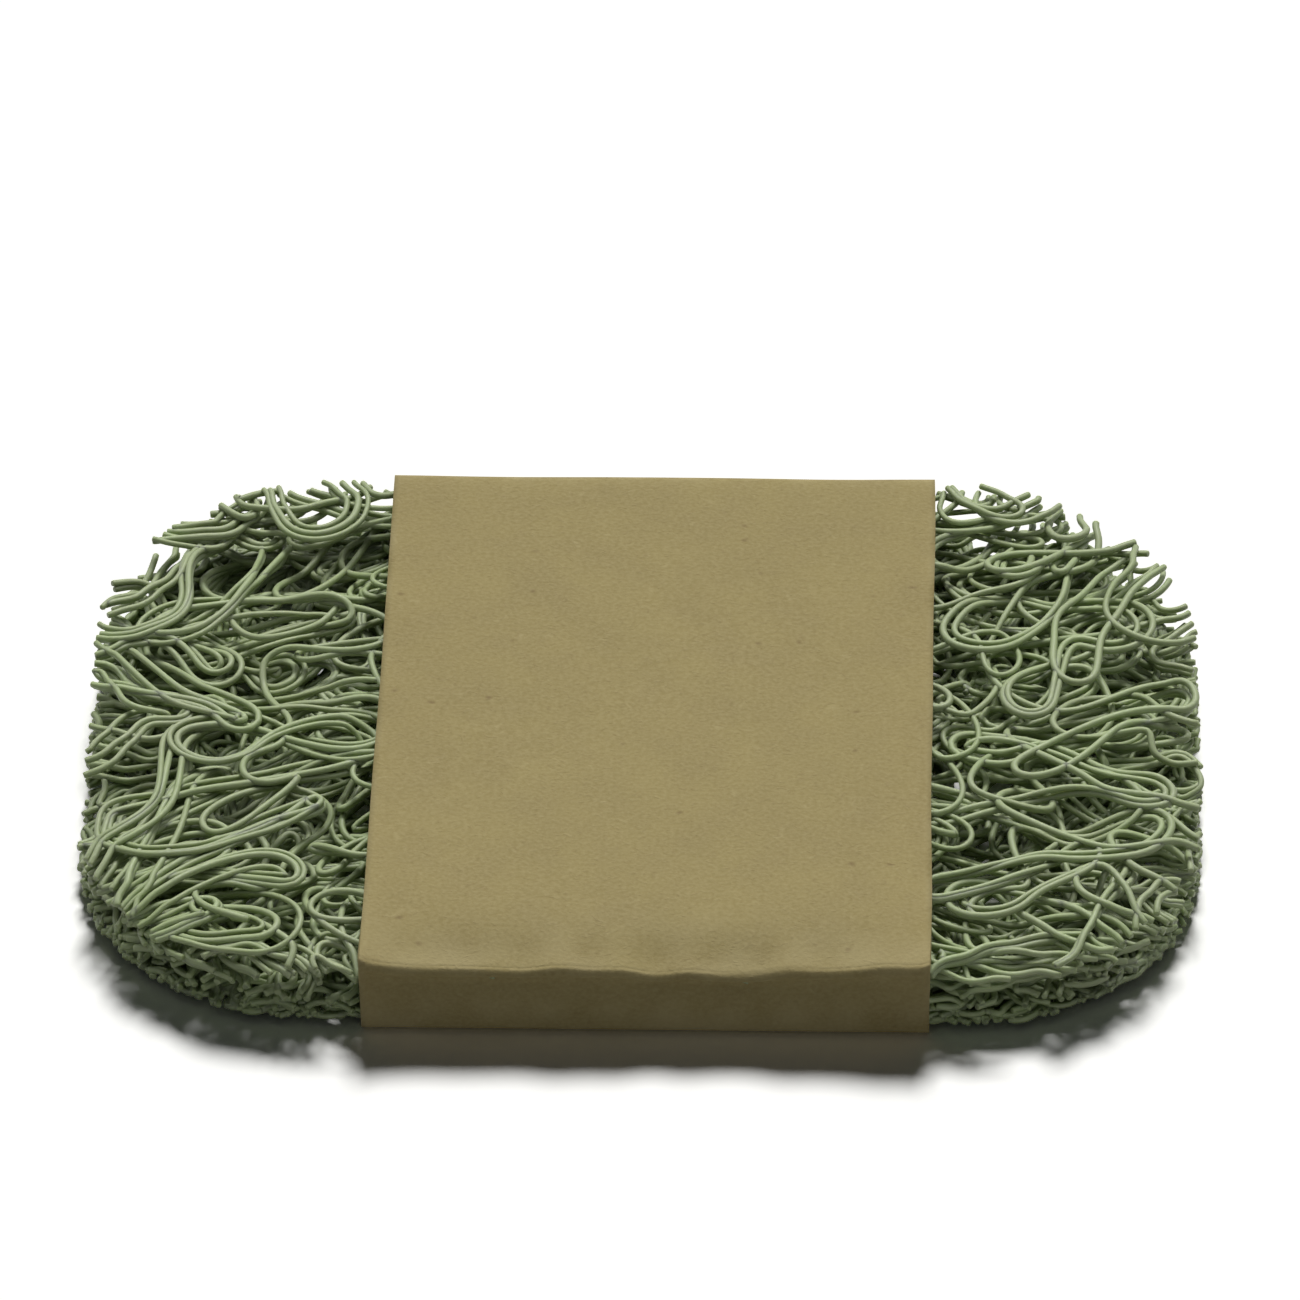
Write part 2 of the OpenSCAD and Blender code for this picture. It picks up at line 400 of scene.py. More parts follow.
def swirl(rng, size, waves=6):
    """A smooth random field over the mat, about -1 to 1."""
    heading = rng.uniform(0, 2 * math.pi, waves)
    number = 2 * math.pi / (size * rng.uniform(0.7, 1.6, waves))
    phase = rng.uniform(0, 2 * math.pi, waves)
    kx, ky = number * np.cos(heading), number * np.sin(heading)

    def field(p):
        return np.sin(p[..., :1] * kx + p[..., 1:2] * ky + phase).sum(-1) / math.sqrt(waves)

    return field


def spline(points, per=6):
    """A cubic B-spline near the points, per places for each of them."""
    c = np.concatenate([[2 * points[0] - points[1]], points, [2 * points[-1] - points[-2]]])
    f = np.arange(per) / per
    weights = np.stack(
        [(1 - f) ** 3, 3 * f**3 - 6 * f**2 + 4, -3 * f**3 + 3 * f**2 + 3 * f + 1, f**3], 1) / 6
    near = np.stack([c[i : len(c) - 3 + i] for i in range(4)], 1)
    return np.einsum("pk,nkd->npd", weights, near).reshape(-1, c.shape[1])


def evenly(path, step):
    """The same path in even steps. Its third column is the time at which it falls."""
    s = np.concatenate([[0], np.cumsum(np.linalg.norm(np.diff(path[:, :2], axis=0), axis=1))])
    t = np.arange(0, s[-1], step)
    return np.stack([np.interp(t, s, path[:, k]) for k in range(path.shape[1])], 1)


print("the outline's corner lies", from_outline(np.array([LENGTH, WIDTH]) / 2).round(2), "mm off")

# %% [markdown]
# Where a filament keeps turning the same way it closes round loops, and where it
# turns to and fro it lies like a hairpin. Every swing gets its own reach, turn
# radius, bow and direction, and the spline runs smoothly by those points. By the
# cut edges the swings come closer and curl, as the photographed wall is full of
# small hooks.

# %% Draw one filament from above
WANDER = [(3.0, 11.0), (0.4, 4.0)]  # how far a filament strays, and over what length
SMOOTH = np.array([1, 2, 3, 2, 1]) / 9
MARGIN = 6.0  # how far filaments run on beyond the outline
CROWDING, CROWD_IN, CROWD_OUT = 0.36, 11, 2  # closer swings, this far in and out of the cut
TILT_EACH, TILT_ALL = math.radians(20), math.radians(14)  # stray heading of swing and filament
CURL_ZONE, CURL_STEP = 5.5, 4.6  # how deep the curls reach, and the length of one


def places(step, last):
    """Where along the belt the swings come: closer together by the cut edges."""
    along = [-last]
    while along[-1] < last:
        crowded = last - MARGIN - CROWD_IN < abs(along[-1]) < last - MARGIN + CROWD_OUT
        along.append(along[-1] + (CROWDING if crowded else 1) * step)
    return np.array(along)


def swings(rng, aim, course, centre, last):
    """The way of one filament over the belt, from the place -last to the place last."""
    along = places(course["advance"] / 2, last)
    count = len(along)
    i = np.arange(count)
    along = along + rng.uniform(-0.6, 0.6, count) * np.gradient(along)
    across = centre + 4.0 * smooth_noise(rng, 5.0, i.astype(float))
    side = np.where(i % 2, 1.0, -1.0)
    reach = rng.uniform(*course["reach"], count)
    coils = smooth_noise(rng, 4.0, i.astype(float)) < course["coiling"]
    sense = np.where(coils, np.where(rng.uniform(size=count) < 0.85, side, -side), 1.0)
    radius = rng.uniform(*course["radius"], count)
    bow = rng.uniform(-0.1, 0.1, count)
    angle = math.radians(course["angle"])
    ca, sa = math.cos(angle), math.sin(angle)
    middle = np.stack([across * ca - along * sa, across * sa + along * ca], 1)
    heading = angle + aim(middle) + TILT_EACH * rng.normal(size=count) + TILT_ALL * rng.normal()
    d = np.stack([np.cos(heading), np.sin(heading)], 1) * side[:, None]
    e = np.stack([-np.sin(heading), np.cos(heading)], 1)
    tip = middle + reach[:, None] * d
    r, s = radius[:, None], sense[:, None]
    arrives, leaves = tip - 2.2 * r * d - 1.05 * s * r * e, tip - 2.2 * r * d + 1.05 * s * r * e
    last_left = np.concatenate([arrives[:1], leaves[:-1]])
    pass_over = arrives - last_left
    points = np.stack([
        (arrives + last_left) / 2 + bow[:, None] * pass_over[:, ::-1] * (1, -1),
        arrives,
        tip - 0.1 * r * d - 1.2 * s * r * e,
        tip + 0.8 * r * d,
        tip - 0.1 * r * d + 1.2 * s * r * e,
        leaves,
    ], 1).reshape(-1, 2)
    falls = np.repeat(np.maximum.accumulate(along) + 1e-4 * i, 6)
    path = evenly(spline(np.concatenate([points, falls[:, None]], 1)), STEP)
    s = np.arange(len(path)) * STEP
    for far, spacing in WANDER:
        for k in (0, 1):
            path[:, k] += far * smooth_noise(rng, spacing, s)
    by_the_wall = np.clip((from_outline(path[:, :2]) + CURL_ZONE) / 2, 0, 1) * course["curls"]
    by_the_wall *= 0.75 + 0.5 * smooth_noise(rng, 12, s)
    turned = 2 * math.pi * s / CURL_STEP
    path[:, 0] += by_the_wall * np.cos(turned)
    path[:, 1] += by_the_wall * np.sin(turned)
    path = evenly(path, STEP)
    for k in (0, 1):
        path[2:-2, k] = np.convolve(path[:, k], SMOOTH, "valid")
    return evenly(path, STEP)


trial = swings(np.random.default_rng(1), lambda p: 0 * p[:, 0],
               {"advance": 7.5, "reach": (6, 14), "radius": (1.8, 3.8), "coiling": 0.1, "angle": 0,
                "curls": 0.0},
               0.0, 40)
print("a trial filament is", round(len(trial) * STEP), "mm long")

# %% [markdown]
# ## How it comes to rest
#
# A falling strand stops on whatever lies highest under it and spans the hollows
# between. A rigid body or cloth simulation of 58 metres of thread would take hours.
# A height map gives a rough stand-in in seconds: it holds the height of the mat
# every quarter of a millimetre. Each short length of strand reads it, takes the
# lowest curve above it that is no steeper than the strand can bend, and is then
# added to it. It knows no weight, no give and nothing under an overhang.

# %% Let strands fall on a height map
CELL = 0.25
PAD = 9.0
EASE = np.array([1, 3, 6, 9, 10, 9, 6, 3, 1]) / 48
DROOP = 0.035  # how sharply a strand can bend down, per millimetre


def span(z, far=40):
    """The lowest smooth curve over heights z that a strand can follow."""
    padded, lowest = np.pad(z, far, mode="edge"), z
    for k in range(-far, far + 1):
        lowest = np.maximum(lowest, padded[far + k : far + k + len(z)] - DROOP * (k * STEP) ** 2)
    return np.convolve(np.pad(lowest, 4, mode="edge"), EASE, "valid")


class Belt:
    """The height of what lies on the belt, in cells."""

    def __init__(self):
        self.low = -np.array([LENGTH / 2 + PAD, WIDTH / 2 + PAD])
        self.count = np.ceil(-2 * self.low / CELL).astype(int) + 1
        self.height = np.zeros(self.count[0] * self.count[1])
        reach = np.arange(-int(RADIUS / CELL) - 1, int(RADIUS / CELL) + 2)
        self.near = np.array([(a, b) for a in reach for b in reach
                              if math.hypot(a, b) * CELL < RADIUS + CELL * 0.75])

    def under(self, p):
        """The cells under points p, the strand's rise over each, and which count."""
        q = (p - self.low) / CELL
        cells = np.round(q).astype(int)[:, None] + self.near[None]
        off = ((cells - q[:, None]) ** 2).sum(-1) * CELL**2
        on_belt = ((cells >= 0) & (cells < self.count)).all(-1)
        cells = np.clip(cells, 0, self.count - 1)
        rise = np.sqrt(np.maximum(RADIUS**2 - off, 0))
        return cells[..., 0] * self.count[1] + cells[..., 1], rise, (off < RADIUS**2) & on_belt

    def settle(self, p, before):
        """The height at which the middle of a strand over points p comes to rest."""
        cells, rise, there = self.under(p)
        bearing = there & (rise > 0.8 * RADIUS)
        z = np.where(bearing, self.height[cells] + rise, 0).max(1)
        if before is not None:
            z = np.concatenate([[before], z])
        z = span(z)
        return z if before is None else z[1:]

    def lay(self, p, z):
        cells, rise, there = self.under(p)
        np.maximum.at(self.height, cells[there], (z[:, None] + rise)[there])


print("the belt has", np.prod(Belt().count), "cells")

# %% [markdown]
# ## The courses of the mat
#
# The CAD model has six courses: five of flat ribbons that stand for strands fused
# side by side, each turned against the last, and one of loops on top. Each has a
# few lanes, and each lane is a solid of its own. The same courses and lanes fall
# here, with two to four filaments to a lane, and one or two strays on top. A
# filament is one strand, or two or three side by side. The photographed mat runs
# mostly left to right, fans out by the band's left edge and slants on the right, so
# four places on top have a given direction. The rest is random.

# %% Set the courses
COURSES = [
    {"node": "base_ribbon", "lanes": 4, "each": 3, "angle": 0, "advance": 6.8},
    {"node": "cross_ribbon", "lanes": 2, "each": 4, "angle": 90, "advance": 9.0},
    {"node": "slant_ribbon", "lanes": 4, "each": 3, "angle": 24, "advance": 10.0},
    {"node": "counter_ribbon", "lanes": 3, "each": 2, "angle": 114, "advance": 10.0},
    {"node": "upper_ribbon", "lanes": 4, "each": 3, "angle": 9, "advance": 10.0, "turn": 55,
     "strays": 1, "curls": 0.8},
    {"node": "top_filament", "lanes": 5, "each": 2, "angle": 0, "advance": 9.0, "turn": 50,
     "strays": 2, "curls": 0.3},
]
USUAL = {"reach": (5, 15), "radius": (1.2, 3.6), "coiling": -0.3, "turn": 50, "strays": 0,
         "curls": 1.2}
STRAY = {"reach": (3, 9), "radius": (2.5, 5), "advance": 26.0, "coiling": -1.0}
# Where the top runs another way: x, y, how far that reaches, and the turn in degrees
FLOWS = [(-31, 26, 8, 62), (41, 8, 11, 34), (47, -20, 9, -28), (-47, -24, 9, 34)]
CHUNK = 60  # points laid at a time
THICKNESS = (mat_high[2] - mat_low[2]) * 1000
print(len(COURSES), "courses,", sum(c["lanes"] for c in COURSES), "lanes")

# %% [markdown]
# Strands of one course fall together, in the order of their times, so that each lies
# over some of its neighbours and under others.

# %% Aim the filaments and lay a course


def aim_of(rng, course, on_top):
    field = swirl(rng, 45)

    def aim(p):
        turn = math.radians(course["turn"]) * field(p)
        for x, y, size, degrees in FLOWS if on_top else []:
            near = np.exp(-((p[:, 0] - x) ** 2 + (p[:, 1] - y) ** 2) / (2 * size**2))
            turn = turn * (1 - near) + math.radians(degrees) * near
        return turn

    return aim


def side_by_side(rng, path):
    """One to three strands along a path, which part and close up again."""
    count = (1, 1, 2, 2, 3)[rng.integers(5)]
    d = np.gradient(path[:, :2], axis=0)
    d /= np.linalg.norm(d, axis=1)[:, None] + 1e-9
    normal = np.stack([-d[:, 1], d[:, 0]], 1)
    s = np.arange(len(path)) * STEP
    for k in range(count):
        spread = 1 + 3.0 * np.clip(smooth_noise(rng, 20, s), 0, 1)
        off = ((k - (count - 1) / 2) * 0.9 * DIAMETER * spread
               + (0.7 * smooth_noise(rng, 17, s) if count > 1 else 0 * s))
        strand = path.copy()
        strand[:, :2] += normal * off[:, None]
        yield strand


def fall(belt, strands):
    """Lays the strands of one course in the order of their times, a chunk at a time."""
    chunks = sorted((strand["path"][i, 2] + 1e-3 * k, k, i) for k, strand in enumerate(strands)
                    for i in range(0, len(strand["path"]), CHUNK))
    for _, k, i in chunks:
        path, z = strands[k]["path"][:, :2], strands[k]["z"]
        end = min(i + CHUNK, len(path))
        z[i:end] = belt.settle(path[i:end], z[i - 1] if i else None)
        first, last = max(i - 4, 0), end if end == len(path) else end - 4
        belt.lay(path[first:last], z[first:last])
    for strand in strands:
        strand["z"] = span(strand["z"])


# %% [markdown]
# ## Roll each course down
#
# The real sheet is pressed by a roller while it is warm, so its top is level. Here
# the strands pile up far higher than they could, up to 38 millimetres, since none
# slides aside. After each course every place is scaled to its share of the
# mat's thickness, by the height of the hills near it. That is no model of
# pressing: the strands end up running through one another, deeper than any real
# fused crossing. It serves the picture, and not a measurement of the mat.

# %% Roll the heap level


def spread_box(grid, cells, how):
    """A running maximum or mean of the grid over a square of cells, one axis at a time."""
    for axis in (0, 1):
        margins = [(cells, cells) if k == axis else (0, 0) for k in (0, 1)]
        padded = np.pad(grid, margins, mode="edge")
        view = np.lib.stride_tricks.sliding_window_view(padded, 2 * cells + 1, axis=axis)
        grid = view.max(-1) if how == "max" else view.mean(-1)
    return grid


def press(belt, mat, height):
    """Rolls the heap so far level: each place is scaled by the height of the hills near it."""
    heap = belt.height.reshape(belt.count)
    hills = spread_box(heap[::4, ::4], 3, "max")
    for _ in range(2):
        hills = spread_box(hills, 3, "mean")
    squeeze = (height - DIAMETER) / (np.maximum(hills, DIAMETER + 1) - DIAMETER)

    def at(p):
        q = np.clip((p - belt.low) / (4 * CELL), 0, np.array(squeeze.shape) - 1.001)
        i = q.astype(int)
        f = q - i
        return sum(
            squeeze[i[:, 0] + a, i[:, 1] + b] * np.abs(1 - a - f[:, 0]) * np.abs(1 - b - f[:, 1])
            for a in (0, 1) for b in (0, 1))

    def lower(z, p):
        level = (z - RADIUS) * at(p)
        top = height - DIAMETER
        eased = top - 0.5 + 0.5 * np.tanh((level - top + 0.5) / 0.5)
        return RADIUS + np.where(level > top - 0.5, eased, level)

    for strand in mat:
        strand["z"] = lower(strand["z"], strand["path"][:, :2])
    rows, columns = np.divmod(np.arange(len(belt.height)), belt.count[1])
    places = belt.low + CELL * np.stack([rows, columns], 1)
    rolled = np.maximum(lower(belt.height - RADIUS, places) + RADIUS, 0)
    belt.height = np.where(belt.height > 0, rolled, 0)
    print("hills of", hills.max().round(1), "mm rolled to", round(height, 2))


# %% [markdown]
# Now the courses fall and are rolled, one after the other. The seed is one of several
# tried. It was picked because its loops look most like the photographed ones.

# %% Let every course fall
SEED = 33


def make_mat(seed):
    rng = np.random.default_rng(seed)
    belt, mat = Belt(), []
    for number, course in enumerate(COURSES):
        course = {**USUAL, **course}
        a = math.radians(course["angle"])
        reach = abs(math.cos(a)) * LENGTH / 2 + abs(math.sin(a)) * WIDTH / 2
        far = abs(math.sin(a)) * LENGTH / 2 + abs(math.cos(a)) * WIDTH / 2 + MARGIN
        aim = aim_of(rng, course, number >= 4)
        strands = []
        each = course["each"] + course["strays"]
        for filament in range(course["lanes"] * each):
            lane, place = divmod(filament, each)
            stray = place >= course["each"]
            shift = lane + (place + 0.5) / course["each"] - stray * rng.uniform(0.4, 1.0)
            centre = -reach + shift * 2 * reach / course["lanes"]
            path = swings(rng, aim, {**course, **STRAY} if stray else course, centre, far)
            for strand in [path] if stray else side_by_side(rng, path):
                strands.append({
                    "piece": f"{course['node']}_{lane + 1}", "path": strand,
                    "z": np.zeros(len(strand)), "tone": rng.uniform(),
                    "thick": rng.uniform(0.86, 1.1)})
        fall(belt, strands)
        mat += strands
        press(belt, mat, THICKNESS * (number + 1) / len(COURSES))
    return belt, mat


belt, mat = make_mat(SEED)
print("strands", len(mat), "after", round(time.time() - started, 1), "s")

# %% [markdown]
# ## Edges and paper
#
# The front edge of the cut sheet droops a little, and where the band's front crease
# was pushed in, the strands below give way. Bending each strand would be the true
# way. Here their heights are lowered, and kept below the same sag that the paper
# follows.

# %% Lower the front edge and keep clear of the paper
band_low, band_high = (np.array(v) * 1000 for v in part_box("kraft_band"))
rng = np.random.default_rng(5)
ALONG = np.linspace(band_low[0], band_high[0], 119)
sag = np.sqrt(np.clip(np.sin(math.pi * np.linspace(0, 1, len(ALONG))), 0, 1))
sag *= (1.9 + 0.7 * smooth_noise(rng, 8.0, ALONG - ALONG[0])
        + 0.35 * smooth_noise(rng, 3.4, ALONG - ALONG[0]))
print("the front crease sags by up to", sag.max().round(2), "mm")


def pressed(p, z):
    """The height of a strand's middle above the mat's underside, after hands and paper."""
    inward = -np.minimum(from_outline(p), 0)
    in_front = np.clip(0.5 - p[:, 1] / 30, 0, 1)
    z = z * (1 - in_front * (0.08 * np.exp(-inward / 1.4) + 0.10 * np.exp(-((inward / 3.5) ** 2))))
    push = np.interp(p[:, 0], ALONG, sag, 0, 0)
    under_paper = THICKNESS - RADIUS - push * np.exp(-(((p[:, 1] - band_low[1]) / 4.5) ** 2)) - 0.15
    return np.minimum(z, under_paper)


# %% [markdown]
# ## From lines to tubes
#
# The die cuts every strand where it crosses the outline. What is left of each is
# skinned with rings. A curve object with a round bevel would give the same tube,
# but with as many rings on a straight as on a turn. In mesh code the rings crowd
# where the strand bends and thin out where it runs straight, and each ring can have
# its own thickness.

# %% Skin the strands
SIDES = 7
SHORTEST = 4.5  # shorter offcuts fall out of the sheet


def runs_inside(strand, rng):
    """The lengths of a strand that the die leaves, as points with heights."""
    path = strand["path"][:, :2]
    z = pressed(path, strand["z"])
    ragged = 0.15 * smooth_noise(rng, 20, np.arange(len(path)) * STEP)
    inside = from_outline(path) < -RADIUS * 0.6 + ragged
    edges = np.flatnonzero(np.diff(np.concatenate([[0], inside.astype(int), [0]])))
    for a, b in zip(edges[::2], edges[1::2]):
        if (b - a) * STEP > SHORTEST:
            yield np.column_stack([path[a:b], z[a:b]])


def thin_out(points, degrees):
    """Keeps a point for each millimetre and a half, or for so many degrees of bend."""
    d = np.diff(points, axis=0)
    long = np.linalg.norm(d, axis=1)
    d /= long[:, None]
    bend = np.degrees(np.arccos(np.clip((d[1:] * d[:-1]).sum(1), -1, 1)))
    need = np.concatenate([[0], np.cumsum(long[1:] / 1.5 + bend / degrees)])
    count = max(int(need[-1] + 0.99), 2)
    t = np.interp(np.linspace(0, need[-1], count + 1), need, np.arange(1, len(points)))
    t = np.concatenate([[0], t[1:-1], [len(points) - 1]])
    return np.column_stack([np.interp(t, np.arange(len(points)), points[:, k]) for k in range(3)])


def tube(points, thick):
    """Rings round the points and the faces between them, with a cut end at each end."""
    ends = 0.16 * (points[[1, -2]] - points[[0, -1]])
    points = np.concatenate([points[:1], points[:1] + ends[0], points[1:-1],
                             points[-1:] + ends[1], points[-1:]])
    cut = 0.84  # a cut end is this much thinner
    thick = np.concatenate([[cut * thick[0], thick[0]], thick[1:-1], [thick[-1], cut * thick[-1]]])
    d = np.gradient(points, axis=0)
    d /= np.linalg.norm(d, axis=1)[:, None]
    side = np.cross(d, [0, 0, 1.0])
    side /= np.linalg.norm(side, axis=1)[:, None]
    up = np.cross(side, d)
    a = 2 * math.pi * (np.arange(SIDES) + 0.25) / SIDES
    rings = points[:, None] + thick[:, None, None] * (
        np.cos(a)[None, :, None] * side[:, None] + np.sin(a)[None, :, None] * up[:, None])
    n = len(points)
    k = np.arange(SIDES)
    base = (np.arange(n - 1) * SIDES)[:, None]
    after = (k + 1) % SIDES
    walls = np.stack([base + k, base + after, base + SIDES + after, base + SIDES + k], -1)
    caps = [k[::-1], (n - 1) * SIDES + k]
    return rings.reshape(-1, 3), walls.reshape(-1, 4), caps


def mesh_of(name, parts, material, tones=None):
    """One mesh from tubes, each (points, quads, caps). Big meshes go in as flat arrays."""
    points, quads, caps, tone, start = [], [], [], [], 0
    for k, (p, q, c) in enumerate(parts):
        points.append(p)
        quads.append(q + start)
        caps += [cap + start for cap in c]
        tone.append(np.full(len(p), tones[k] if tones else 0.5))
        start += len(p)
    points, quads = np.concatenate(points), np.concatenate(quads)
    corners = np.concatenate([quads.ravel(), *caps])
    sizes = np.concatenate([np.full(len(quads), 4), [len(c) for c in caps]]).astype(int)
    mesh = bpy.data.meshes.new(name)
    mesh.vertices.add(len(points))
    mesh.vertices.foreach_set("co", (points * 0.001).astype(np.float32).ravel())
    mesh.loops.add(len(corners))
    mesh.loops.foreach_set("vertex_index", corners.astype(np.int32))
    mesh.polygons.add(len(sizes))
    starts = np.concatenate([[0], np.cumsum(sizes)[:-1]])
    mesh.polygons.foreach_set("loop_start", starts.astype(np.int32))
    mesh.polygons.foreach_set("use_smooth", np.arange(len(sizes)) < len(quads))
    mesh.update(calc_edges=True)
    mesh.attributes.new("tone", "FLOAT", "POINT").data.foreach_set(
        "value", np.concatenate(tone).astype(np.float32))
    mesh.materials.append(material)
    piece = bpy.data.objects.new(name, mesh)
    scene.collection.objects.link(piece)
    return piece


# %% [markdown]
# Each lane's strands become one piece, which replaces the CAD solid of that lane and
# rides on the mat's body.

# %% Dress the mat
faces = 0
rng = np.random.default_rng(23)
low = mat_low[2] * 1000
metres = 0
for node in [n for n in nodes if n in mat_nodes]:
    parts, tones = [], []
    for strand in [s for s in mat if s["piece"] == node]:
        for run in runs_inside(strand, rng):
            metres += len(run) * STEP / 1000
            points = thin_out(run + [0, 0, low], 12 if "top" in node or "upper" in node else 20)
            s = np.concatenate([[0], np.cumsum(np.linalg.norm(np.diff(points, axis=0), axis=1))])
            thick = RADIUS * strand["thick"] * (1 + 0.08 * smooth_noise(rng, 5, s))
            parts.append(tube(points, thick))
            tones.append(strand["tone"])
    # Lanes of the four lower courses take the darker plastic, painted shade for their depth in the
    # mat.
    piece = mesh_of(node.replace("filament", "strands").replace("ribbon", "strands"), parts,
                    sage if "top" in node or "upper" in node else painted_shade_sage, tones)
    faces += len(piece.data.polygons)
    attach(piece, "mat")
    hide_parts(node)
    "filament" if "filament" in node else "ribbon"
print(round(metres, 1), "m of strand in", len(mat_nodes), "pieces,", faces, "faces,",
      round(time.time() - started, 1), "s")

# %% [markdown]
# ## The paper
#
# Kraft paper is a felt of long brown fibres. It is matt, mottled where the pulp lay
# thicker, and recycled stock shows dark and pale flecks. A photograph of paper laid
# over it would be the quick way, but it would carry no depth and repeat. Here a
# second shared group, "flecks", scatters short dashes: it stretches a cell pattern
# along a heading that clouds bend, and keeps only the cells whose random value is
# high. Dark and pale flecks, mottling, and the fold wear and painted light that the
# mesh carries then mix into one colour, and the same flecks lift the surface a little.

# %% Make the paper


def flecks_group():
    tree, given, result = group(
        "flecks",
        {"Per metre": (NUMBER, 1500.0), "Long": (NUMBER, 0.35), "Bend": (NUMBER, 0.002),
         "Share": (NUMBER, 0.1), "Size": (NUMBER, 0.3)},
        {"Value": NUMBER},
    )
    place = add(tree, "ShaderNodeTexCoord")
    wander = add(tree, "ShaderNodeTexNoise")
    wander.inputs["Scale"].default_value = 260.0
    centred = add(tree, "ShaderNodeVectorMath", operation="SUBTRACT")
    centred.inputs[1].default_value = (0.5, 0.5, 0.5)
    bent = add(tree, "ShaderNodeVectorMath", operation="SCALE")
    moved = add(tree, "ShaderNodeVectorMath", operation="ADD")
    stretch = add(tree, "ShaderNodeCombineXYZ")
    stretch.inputs["Y"].default_value = 1.0
    stretch.inputs["Z"].default_value = 1.0
    scaled = add(tree, "ShaderNodeVectorMath", operation="MULTIPLY")
    cells = add(tree, "ShaderNodeTexVoronoi")
    parts = add(tree, "ShaderNodeSeparateColor")
    chosen = add(tree, "ShaderNodeMath", operation="LESS_THAN")
    inside = add(tree, "ShaderNodeMapRange", interpolation_type="SMOOTHSTEP")
    inside.inputs["From Min"].default_value = 0.0
    inside.inputs["To Min"].default_value = 1.0
    inside.inputs["To Max"].default_value = 0.0
    both = add(tree, "ShaderNodeMath", operation="MULTIPLY")
    wire(tree, [
        (place.outputs["Object"], wander.inputs["Vector"]),
        (wander.outputs["Color"], centred.inputs[0]),
        (centred.outputs[0], bent.inputs[0]),
        (given.outputs["Bend"], bent.inputs["Scale"]),
        (place.outputs["Object"], moved.inputs[0]),
        (bent.outputs[0], moved.inputs[1]),
        (given.outputs["Long"], stretch.inputs["X"]),
        (moved.outputs[0], scaled.inputs[0]),
        (stretch.outputs[0], scaled.inputs[1]),
        (scaled.outputs[0], cells.inputs["Vector"]),
        (given.outputs["Per metre"], cells.inputs["Scale"]),
        (cells.outputs["Color"], parts.inputs[0]),
        (parts.outputs[0], chosen.inputs[0]),
        (given.outputs["Share"], chosen.inputs[1]),
        (cells.outputs["Distance"], inside.inputs["Value"]),
        (given.outputs["Size"], inside.inputs["From Max"]),
        (chosen.outputs[0], both.inputs[0]),
        (inside.outputs["Result"], both.inputs[1]),
        (both.outputs[0], result.inputs["Value"]),
    ])
    return tree


flecks = flecks_group()
PULP, THIN_PULP = (0.308, 0.251, 0.108), (0.264, 0.211, 0.086)
# The last colour is pale, worn paper. It also serves as painted light on the front of the band.
DARK_FLECK, PALE_FLECK, WORN_AND_PAINTED_LIGHT = (0.19, 0.135, 0.06), (0.46, 0.39, 0.205), (0.43, 0.365, 0.195)


def scaled_by(tree, socket, factor):
    node = add(tree, "ShaderNodeMath", operation="MULTIPLY")
    tree.links.new(socket, node.inputs[0])
    node.inputs[1].default_value = factor
    return node.outputs[0]


def kraft():
    material, tree, body = new_material("kraft paper")
    mottle = use(tree, clouds, Per_metre=170.0, Detail=4.0, Low=0.3, High=0.7)
    grain = use(tree, clouds, Per_metre=2600.0, Detail=2.0, Low=0.3, High=0.7, Stretch_along_X=0.8)
    dark = use(tree, flecks, Per_metre=700.0, Share=0.035, Size=0.32, Long=0.7)
    pale = use(tree, flecks, Per_metre=1000.0, Share=0.12, Size=0.4, Long=0.4, Bend=0.006)
    fibre = use(tree, flecks, Per_metre=1900.0, Share=0.45, Size=0.5, Long=0.35, Bend=0.006)
    wear_and_painted_light = add(tree, "ShaderNodeAttribute", attribute_name="wear_and_painted_light")
    colour = mix_colour(tree, mottle.outputs["Value"], THIN_PULP, PULP)
    colour = mix_colour(tree, scaled_by(tree, grain.outputs["Value"], 0.3), colour, PALE_FLECK)
    colour = mix_colour(tree, scaled_by(tree, fibre.outputs["Value"], 0.18), colour, DARK_FLECK)
    colour = mix_colour(tree, scaled_by(tree, pale.outputs["Value"], 0.28), colour, PALE_FLECK)
    colour = mix_colour(tree, scaled_by(tree, dark.outputs["Value"], 0.8), colour, DARK_FLECK)
    # Paler along the folds and cut edges, which is wear, and in two broad bands by the front
    # crease, which is painted light.
    colour = mix_colour(tree, scaled_by(tree, wear_and_painted_light.outputs["Fac"], 0.6), colour, WORN_AND_PAINTED_LIGHT)
    rough = add(tree, "ShaderNodeMapRange")
    rough.inputs["To Min"].default_value = 0.78
    rough.inputs["To Max"].default_value = 0.92
    felt = add(tree, "ShaderNodeMath", operation="ADD")
    bump = add(tree, "ShaderNodeBump")
    bump.inputs["Distance"].default_value = 0.00003
    bump.inputs["Strength"].default_value = 0.7
    wire(tree, [
        (colour, body.inputs["Base Color"]),
        (mottle.outputs["Value"], rough.inputs["Value"]),
        (rough.outputs["Result"], body.inputs["Roughness"]),
        (grain.outputs["Value"], felt.inputs[0]),
        (fibre.outputs["Value"], felt.inputs[1]),
        (felt.outputs[0], bump.inputs["Height"]),
        (bump.outputs["Normal"], body.inputs["Normal"]),
    ])
    body.inputs["Specular IOR Level"].default_value = 0.25
    return material


paper = kraft()
print("groups", [g.name for g in bpy.data.node_groups])

